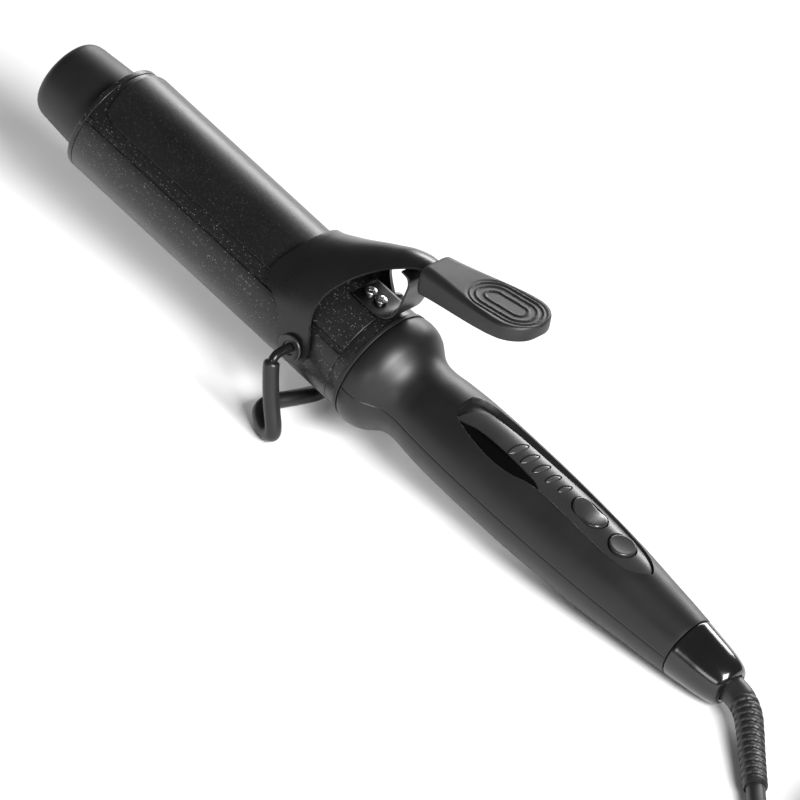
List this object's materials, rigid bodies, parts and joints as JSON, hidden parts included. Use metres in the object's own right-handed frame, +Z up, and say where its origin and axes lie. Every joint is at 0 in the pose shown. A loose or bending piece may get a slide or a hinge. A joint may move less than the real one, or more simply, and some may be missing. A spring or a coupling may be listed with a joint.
{
  "type": "curling wand",
  "caption": "Hair curling wand with a heated barrel, a sprung clamp with a thumb lever, a fold-out wire stand and a corded handle with control keys.",
  "frame": {"origin": "centre of the iron's box on the surface that it rests on, without its cord", "axes": "+X along the iron from the tip to the cord, +Z up from the surface; the iron leans on its stand, tip raised"},
  "size_m": [0.4884, 0.096, 0.0784],
  "materials": {
    "barrel_coating": "speckled ceramic coating, satin",
    "clamp_coating": "fine speckled coating, satin",
    "heatproof_plastic": "matte",
    "soft_touch": "satin soft touch",
    "panel_plastic": "fine satin",
    "gloss_black": "polished",
    "lens": "frosted",
    "steel": "plain",
    "bright_wire": "bright",
    "spring_steel": "plain",
    "rubber": "satin",
    "phenolic": "matte",
    "aluminium": "extruded",
    "ptc_ceramic": "matte ceramic",
    "brass": "plain",
    "wire_cover": "silicone sleeve",
    "board": "solder mask",
    "sensor": "enamel"
  },
  "bodies": {
    "root": {"barrel": "barrel_coating", "end_flange": "barrel_coating", "tip_cap": "heatproof_plastic", "tip_screw": "steel", "barrel_ring": "barrel_coating", "collar_rim": "heatproof_plastic", "barrel_socket": "phenolic", "heater_shoes": "aluminium", "ptc_plates": "ptc_ceramic", "electrode_strips": "brass", "thermistor": "sensor", "thermal_fuse": "sensor", "lead_wires": "wire_cover", "leaf_spring": "spring_steel", "spring_screws": "steel", "pivot_bushes": "steel", "handle_top_shell": "soft_touch", "handle_bottom_shell": "soft_touch", "handle_screws": "steel", "control_panel": "panel_plastic", "led_lenses": "lens", "rocker_axle": "steel", "circuit_board": "board", "tact_switches": "heatproof_plastic", "led_chips": "lens", "swivel_spindle": "heatproof_plastic", "cord_guard": "rubber", "power_cord": "rubber", "cord_coil": "rubber", "cord_tie": "rubber", "cord_tail": "rubber", "plug_body": "rubber", "plug_pins": "brass"},
    "clamp": {"clamp_plate": "clamp_coating", "clamp_lever": "clamp_coating", "lever_grip": "heatproof_plastic", "grip_screw": "steel"},
    "stand": {"stand_wire": "bright_wire", "stand_sleeve": "rubber"},
    "rocker": {"temp_rocker": "gloss_black"},
    "button": {"power_button": "gloss_black"},
    "swivel_cap": {"end_cone": "gloss_black"}
  },
  "joints": [
    {"name": "clamp_hinge", "type": "hinge", "parent": "root", "child": "clamp", "pos_m": [-0.02453, 0, 0.02933], "axis": [0, 1, 0], "range_deg": [0, 22], "stiffness_Nm_per_rad": 0.6, "springref_deg": -20.05, "deforming": ["leaf_spring"]},
    {"name": "stand_hinge", "type": "hinge", "parent": "root", "child": "stand", "pos_m": [-0.02453, 0, 0.02933], "axis": [0, 1, 0], "range_deg": [0, 33]},
    {"name": "temp_rocker_tilt", "type": "hinge", "parent": "root", "child": "rocker", "pos_m": [0.0818, 0, 0.02554], "axis": [0, 1, 0], "range_deg": [-3, 3], "stiffness_Nm_per_rad": 0.05},
    {"name": "power_button_press", "type": "slide", "parent": "root", "child": "button", "axis": [-0.1219, 0, -0.9925], "range_m": [0, 0.0006], "stiffness_N_per_m": 800},
    {"name": "swivel_cap_turn", "type": "hinge", "parent": "root", "child": "swivel_cap", "pos_m": [0.13874, 0, 0.00928], "axis": [0.9925, 0, -0.1219], "continuous": true}
  ]
}
